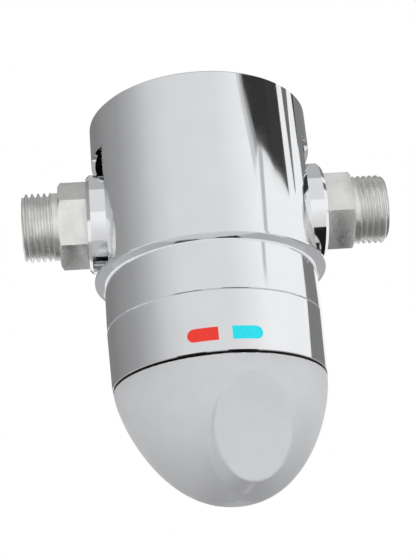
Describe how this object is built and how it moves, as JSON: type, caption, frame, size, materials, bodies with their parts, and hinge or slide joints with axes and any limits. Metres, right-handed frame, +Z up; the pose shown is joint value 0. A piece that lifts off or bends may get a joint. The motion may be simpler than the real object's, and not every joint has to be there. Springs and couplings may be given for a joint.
{
  "type": "thermostatic mixing valve",
  "caption": "Compact thermostatic mixing valve: chromed barrel with hot and cold side inlets, an outlet in its top face and a domed temperature knob below.",
  "frame": {"origin": "centre of the threaded outlet, in the valve's top face", "axes": "+Z up out of the outlet, along the barrel's axis; +X towards the cold inlet; -Y is the front, where the red and blue marks are"},
  "size_m": [0.1104, 0.0692, 0.1215],
  "materials": {
    "chrome_brass": "cast brass, chrome plated and polished",
    "chrome_cover": "drawn and turned brass, chrome plated and polished",
    "satin_knob": "moulded ABS, satin chrome plated",
    "red_paint": "smooth enamel fill",
    "blue_paint": "smooth enamel fill",
    "blasted_brass": "turned brass, blasted and nickel plated",
    "bare_brass": "turned",
    "acetal": "moulded acetal",
    "copper_capsule": "drawn copper",
    "stainless": "drawn stainless steel",
    "seal_rubber": "moulded",
    "fibre_washer": "pressed fibre"
  },
  "bodies": {
    "valve": {"valve_body": "chrome_brass", "cover_sleeve": "chrome_cover", "index_ring": "chrome_cover", "hot_mark": "red_paint", "cold_mark": "blue_paint", "hot_inlet_nipple": "blasted_brass", "cold_inlet_nipple": "blasted_brass", "cartridge_nut": "bare_brass", "limit_stop_ring": "bare_brass", "cartridge_body": "acetal", "cartridge_cap": "acetal", "hot_check_cage": "acetal", "cold_check_cage": "acetal", "hot_check_guide": "acetal", "cold_check_guide": "acetal", "return_spring": "stainless", "hot_strainer": "stainless", "cold_strainer": "stainless", "hot_check_spring": "stainless", "cold_check_spring": "stainless", "hot_check_clip": "stainless", "cold_check_clip": "stainless", "sleeve_o_ring": "seal_rubber", "cartridge_o_ring_upper": "seal_rubber", "cartridge_o_ring_middle": "seal_rubber", "cartridge_o_ring_lower": "seal_rubber", "hot_inlet_seal": "fibre_washer", "cold_inlet_seal": "fibre_washer"},
    "knob": {"knob": "satin_knob", "knob_grub_screw": "stainless", "spindle": "bare_brass", "spindle_o_ring_upper": "seal_rubber", "spindle_o_ring_lower": "seal_rubber", "spindle_circlip": "stainless"},
    "adjuster": {"adjusting_nut": "bare_brass", "overload_spring": "stainless", "piston_pad": "acetal", "pad_clip": "stainless", "capsule_piston": "stainless"},
    "shuttle": {"mixing_shuttle": "acetal", "shuttle_o_ring": "seal_rubber", "wax_capsule": "copper_capsule"},
    "hot_poppet": {"hot_check_poppet": "acetal"},
    "cold_poppet": {"cold_check_poppet": "acetal"}
  },
  "joints": [
    {"name": "knob_turn", "type": "hinge", "parent": "valve", "child": "knob", "pos_m": [0, 0, -0.095], "axis": [0, 0, 1], "range_deg": [-147, 123]},
    {"name": "nut_lift", "type": "slide", "parent": "valve", "child": "adjuster", "axis": [0, 0, 1], "range_m": [-0.00082, 0.00068], "deforming": ["return_spring"]},
    {"name": "shuttle_slide", "type": "slide", "parent": "adjuster", "child": "shuttle", "axis": [0, 0, 1], "range_m": [-0.0005, 0.0005], "stiffness_N_per_m": 4000, "deforming": ["return_spring"]},
    {"name": "hot_check", "type": "slide", "parent": "valve", "child": "hot_poppet", "axis": [1, 0, 0], "range_m": [0, 0.0035], "stiffness_N_per_m": 60, "springref_m": -0.003, "deforming": ["hot_check_spring"]},
    {"name": "cold_check", "type": "slide", "parent": "valve", "child": "cold_poppet", "axis": [-1, 0, 0], "range_m": [0, 0.0035], "stiffness_N_per_m": 60, "springref_m": -0.003, "deforming": ["cold_check_spring"]}
  ],
  "couplings": [
    {"joint": "knob_turn", "follows": "nut_lift", "rad_per_m": 3141.6}
  ]
}
